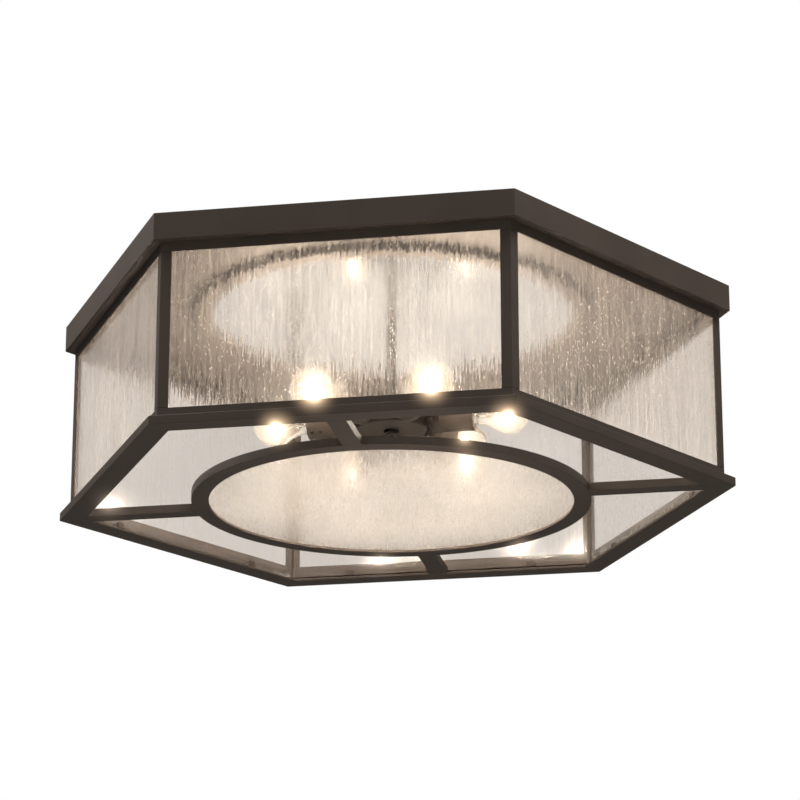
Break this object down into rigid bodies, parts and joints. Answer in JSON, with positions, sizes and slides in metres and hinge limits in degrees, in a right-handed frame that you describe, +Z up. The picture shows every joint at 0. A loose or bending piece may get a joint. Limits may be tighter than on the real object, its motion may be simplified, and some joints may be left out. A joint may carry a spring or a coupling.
{
  "type": "flush mount ceiling light",
  "caption": "Hexagonal flush mount ceiling light: bronze cage with streaked glass panes, open bottom with a round glass disc, and screw lamps on a central hub.",
  "frame": {"origin": "middle of the ceiling plane, on the crossbar's upper face", "axes": "+Z up into the ceiling, X through two corners of the hexagon, front side facing -Y"},
  "size_m": [0.762, 0.66, 0.232],
  "materials": {
    "bronze_paint": "satin",
    "plated_steel": "zinc plated",
    "seedy_glass": "streaked and seeded",
    "polished_reflector": "mirror polished",
    "porcelain": "glazed",
    "brass": "bright",
    "lamp_shell": "rolled thread",
    "lamp_glass": "clear",
    "lamp_insulator": "black glass",
    "filament": "lit"
  },
  "bodies": {
    "fixture": {"pan_skirt": "bronze_paint", "pan_plate": "plated_steel", "crossbar": "plated_steel", "upper_rails": "bronze_paint", "lower_rails": "bronze_paint", "corner_posts": "bronze_paint", "bottom_flange": "bronze_paint", "upper_ring": "plated_steel", "reflector": "polished_reflector", "bottom_ring": "bronze_paint", "bottom_glass": "seedy_glass", "glass_clips": "bronze_paint", "stem": "plated_steel", "stem_nuts": "bronze_paint", "hub": "bronze_paint", "hub_cover": "bronze_paint", "right_spoke": "bronze_paint", "back_spoke": "bronze_paint", "left_spoke": "bronze_paint", "front_spoke": "bronze_paint", "socket_liners": "porcelain", "socket_screw_shells": "brass", "socket_contacts": "brass", "side_glass_1": "seedy_glass", "socket_1": "bronze_paint", "side_glass_2": "seedy_glass", "socket_2": "bronze_paint", "side_glass_3": "seedy_glass", "socket_3": "bronze_paint", "side_glass_4": "seedy_glass", "socket_4": "bronze_paint", "side_glass_5": "seedy_glass", "socket_5": "bronze_paint", "side_glass_6": "seedy_glass", "socket_6": "bronze_paint"},
    "lamp_1_contact": {"bulb_tip_1": "lamp_insulator"},
    "lamp_1": {"bulb_base_1": "lamp_shell", "bulb_glass_1": "lamp_glass", "filament_1": "filament"},
    "lamp_2_contact": {"bulb_tip_2": "lamp_insulator"},
    "lamp_2": {"bulb_base_2": "lamp_shell", "bulb_glass_2": "lamp_glass", "filament_2": "filament"},
    "lamp_3_contact": {"bulb_tip_3": "lamp_insulator"},
    "lamp_3": {"bulb_base_3": "lamp_shell", "bulb_glass_3": "lamp_glass", "filament_3": "filament"},
    "lamp_4_contact": {"bulb_tip_4": "lamp_insulator"},
    "lamp_4": {"bulb_base_4": "lamp_shell", "bulb_glass_4": "lamp_glass", "filament_4": "filament"},
    "lamp_5_contact": {"bulb_tip_5": "lamp_insulator"},
    "lamp_5": {"bulb_base_5": "lamp_shell", "bulb_glass_5": "lamp_glass", "filament_5": "filament"},
    "lamp_6_contact": {"bulb_tip_6": "lamp_insulator"},
    "lamp_6": {"bulb_base_6": "lamp_shell", "bulb_glass_6": "lamp_glass", "filament_6": "filament"}
  },
  "joints": [
    {"name": "lamp_1_travel", "type": "slide", "parent": "fixture", "child": "lamp_1_contact", "axis": [1, 0, 0], "range_m": [0, 0.0127]},
    {"name": "lamp_1_turn", "type": "hinge", "parent": "lamp_1_contact", "child": "lamp_1", "pos_m": [0.1, 0, -0.133], "axis": [1, 0, 0], "range_deg": [0, 1260]},
    {"name": "lamp_2_travel", "type": "slide", "parent": "fixture", "child": "lamp_2_contact", "axis": [0.5, 0.866, 0], "range_m": [0, 0.0127]},
    {"name": "lamp_2_turn", "type": "hinge", "parent": "lamp_2_contact", "child": "lamp_2", "pos_m": [0.05, 0.0866, -0.133], "axis": [0.5, 0.866, 0], "range_deg": [0, 1260]},
    {"name": "lamp_3_travel", "type": "slide", "parent": "fixture", "child": "lamp_3_contact", "axis": [-0.5, 0.866, 0], "range_m": [0, 0.0127]},
    {"name": "lamp_3_turn", "type": "hinge", "parent": "lamp_3_contact", "child": "lamp_3", "pos_m": [-0.05, 0.0866, -0.133], "axis": [-0.5, 0.866, 0], "range_deg": [0, 1260]},
    {"name": "lamp_4_travel", "type": "slide", "parent": "fixture", "child": "lamp_4_contact", "axis": [-1, 0, 0], "range_m": [0, 0.0127]},
    {"name": "lamp_4_turn", "type": "hinge", "parent": "lamp_4_contact", "child": "lamp_4", "pos_m": [-0.1, 0, -0.133], "axis": [-1, 0, 0], "range_deg": [0, 1260]},
    {"name": "lamp_5_travel", "type": "slide", "parent": "fixture", "child": "lamp_5_contact", "axis": [-0.5, -0.866, 0], "range_m": [0, 0.0127]},
    {"name": "lamp_5_turn", "type": "hinge", "parent": "lamp_5_contact", "child": "lamp_5", "pos_m": [-0.05, -0.0866, -0.133], "axis": [-0.5, -0.866, 0], "range_deg": [0, 1260]},
    {"name": "lamp_6_travel", "type": "slide", "parent": "fixture", "child": "lamp_6_contact", "axis": [0.5, -0.866, 0], "range_m": [0, 0.0127]},
    {"name": "lamp_6_turn", "type": "hinge", "parent": "lamp_6_contact", "child": "lamp_6", "pos_m": [0.05, -0.0866, -0.133], "axis": [0.5, -0.866, 0], "range_deg": [0, 1260]}
  ],
  "couplings": [
    {"joint": "lamp_1_travel", "follows": "lamp_1_turn", "m_per_rad": 0.0005775},
    {"joint": "lamp_2_travel", "follows": "lamp_2_turn", "m_per_rad": 0.0005775},
    {"joint": "lamp_3_travel", "follows": "lamp_3_turn", "m_per_rad": 0.0005775},
    {"joint": "lamp_4_travel", "follows": "lamp_4_turn", "m_per_rad": 0.0005775},
    {"joint": "lamp_5_travel", "follows": "lamp_5_turn", "m_per_rad": 0.0005775},
    {"joint": "lamp_6_travel", "follows": "lamp_6_turn", "m_per_rad": 0.0005775}
  ]
}
